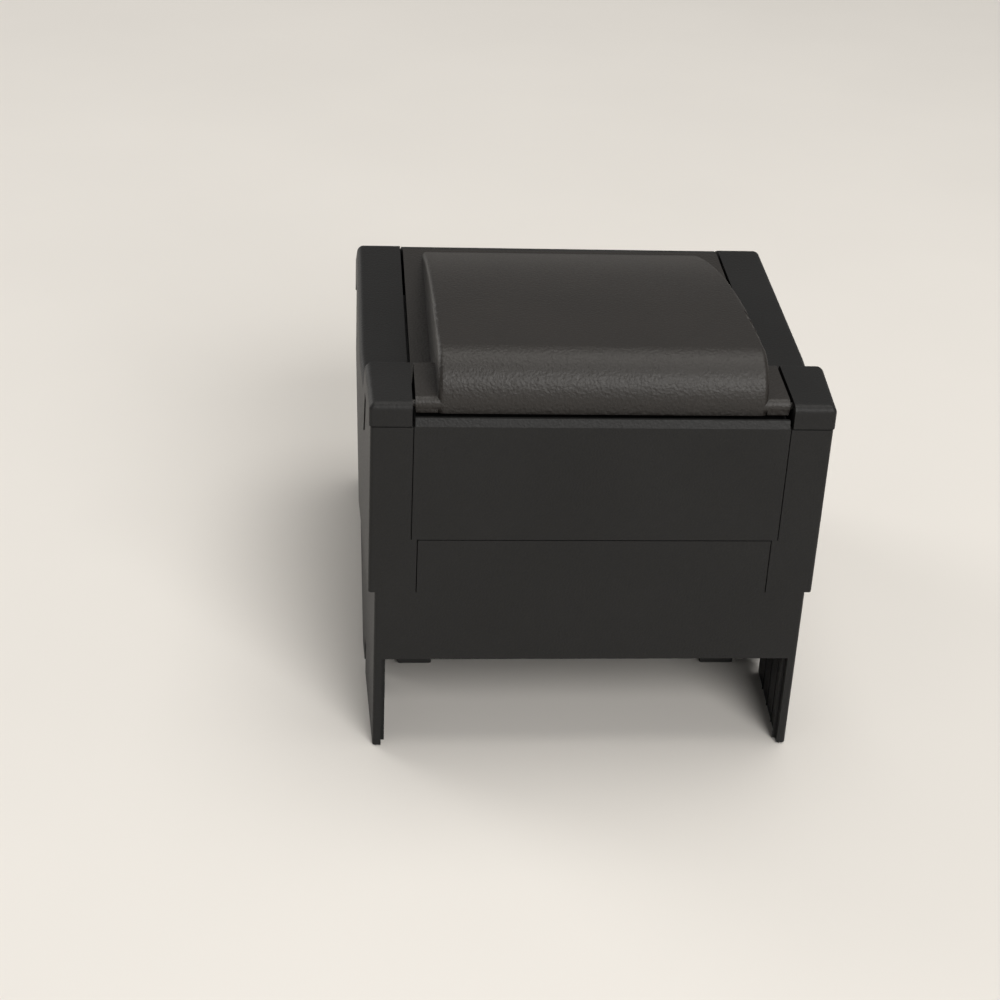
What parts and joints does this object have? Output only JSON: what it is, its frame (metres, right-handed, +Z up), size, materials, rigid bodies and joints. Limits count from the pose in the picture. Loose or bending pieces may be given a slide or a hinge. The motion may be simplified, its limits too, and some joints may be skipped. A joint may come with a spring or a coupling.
{
  "type": "receipt printer",
  "caption": "Free-standing thermal receipt printer: dark case on rear legs with a cable recess, domed lid hinged at the rear over a drop-in paper bin, sloping cutter cover.",
  "frame": {"origin": "on the table, at the middle of the printer's footprint", "axes": "+Z up, -Y out of the front where the paper leaves, +Y out of the rear with the cable recess"},
  "size_m": [0.1508, 0.195, 0.141],
  "materials": {
    "case_plastic": "fine spark-eroded texture, dark charcoal",
    "lid_plastic": "fine spark-eroded texture, dark charcoal",
    "inner_plastic": "plain moulded, dark grey",
    "control_plastic": "smooth moulded, grey",
    "rubber": "matt black",
    "gear_plastic": "natural white moulding",
    "steel": "zinc plated sheet",
    "blade_steel": "ground",
    "aluminium": "extruded",
    "ceramic": "glazed ceramic",
    "brass": "turned",
    "motor_can": "plated can",
    "circuit_board": "solder mask",
    "socket_plastic": "moulded black",
    "lens": "clear light pipe"
  },
  "bodies": {
    "base": {"lower_case": "case_plastic", "left_side_cover": "case_plastic", "right_side_cover": "case_plastic", "rear_panel": "case_plastic", "front_panel": "case_plastic", "upper_case": "case_plastic", "cutter_cover": "case_plastic", "tear_bar": "blade_steel", "rubber_feet": "rubber", "paper_bin": "inner_plastic", "mechanism_frame": "steel", "head_pivot_shaft": "steel", "head_springs": "steel", "feed_motor": "motor_can", "idler_stud": "steel", "cutter_frame": "steel", "cutter_motor": "motor_can", "main_board": "circuit_board", "connector_plate": "steel", "power_inlet": "socket_plastic", "drawer_socket": "socket_plastic", "interface_socket": "socket_plastic", "panel_board": "circuit_board", "feed_switch": "socket_plastic", "indicator_lenses": "lens", "switch_body": "control_plastic", "mechanism_screws": "steel", "board_screws": "steel", "cutter_screws": "steel", "motor_screws": "steel"},
    "cover": {"roll_cover": "lid_plastic", "platen_carrier": "inner_plastic", "hinge_pins": "lid_plastic", "fixed_blade": "blade_steel", "platen_bushes": "brass"},
    "platen": {"platen_roller": "rubber", "platen_shaft": "steel", "platen_gear": "gear_plastic"},
    "idler": {"idler_gear": "gear_plastic"},
    "pinion": {"motor_pinion": "gear_plastic"},
    "blade": {"moving_blade": "blade_steel", "blade_rack": "gear_plastic"},
    "cutter_drive": {"cutter_gear": "gear_plastic"},
    "head": {"thermal_head": "ceramic", "head_heat_sink": "aluminium"},
    "feed_key": {"feed_button": "control_plastic"},
    "rocker": {"power_rocker": "control_plastic"},
    "release": {"release_button": "control_plastic"},
    "lever": {"near_end_lever": "inner_plastic"}
  },
  "joints": [
    {"name": "cover_hinge", "type": "hinge", "parent": "base", "child": "cover", "pos_m": [0, 0.0915, 0.1257], "axis": [-1, 0, 0], "range_deg": [0, 90]},
    {"name": "platen_spin", "type": "hinge", "parent": "cover", "child": "platen", "pos_m": [0, -0.037, 0.107], "axis": [1, 0, 0], "continuous": true},
    {"name": "idler_spin", "type": "hinge", "parent": "base", "child": "idler", "pos_m": [0, -0.03458, 0.09037], "axis": [1, 0, 0], "continuous": true},
    {"name": "pinion_spin", "type": "hinge", "parent": "base", "child": "pinion", "pos_m": [0, -0.04422, 0.07888], "axis": [1, 0, 0], "continuous": true},
    {"name": "blade_slide", "type": "slide", "parent": "base", "child": "blade", "axis": [0, 0.8988, 0.4384], "range_m": [0, 0.007]},
    {"name": "cutter_gear_spin", "type": "hinge", "parent": "base", "child": "cutter_drive", "pos_m": [0.0113, -0.07734, 0.10031], "axis": [0, -0.4384, 0.8988], "range_deg": [-90, 10]},
    {"name": "head_tilt", "type": "hinge", "parent": "base", "child": "head", "pos_m": [0, -0.04285, 0.09529], "axis": [1, 0, 0], "range_deg": [0, 3], "stiffness_Nm_per_rad": 0.5, "springref_deg": -1.15},
    {"name": "feed_press", "type": "slide", "parent": "base", "child": "feed_key", "axis": [0, 1, 0], "range_m": [0, 0.0012], "stiffness_N_per_m": 400, "springref_m": -0.001},
    {"name": "power_rock", "type": "hinge", "parent": "base", "child": "rocker", "pos_m": [-0.046, -0.0929, 0.034], "axis": [-1, 0, 0], "range_deg": [0, 16]},
    {"name": "release_press", "type": "slide", "parent": "base", "child": "release", "axis": [0, 0.4384, -0.8988], "range_m": [0, 0.003], "stiffness_N_per_m": 500, "springref_m": -0.001},
    {"name": "lever_swing", "type": "hinge", "parent": "base", "child": "lever", "pos_m": [0.046, 0.0375, 0.076], "axis": [0, -1, 0], "range_deg": [0, 12], "stiffness_Nm_per_rad": 0.004, "springref_deg": -5.73}
  ],
  "couplings": [
    {"joint": "idler_spin", "follows": "platen_spin", "ratio": -0.75},
    {"joint": "pinion_spin", "follows": "platen_spin", "ratio": 1.3333},
    {"joint": "cutter_gear_spin", "follows": "blade_slide", "rad_per_m": -158.73}
  ]
}
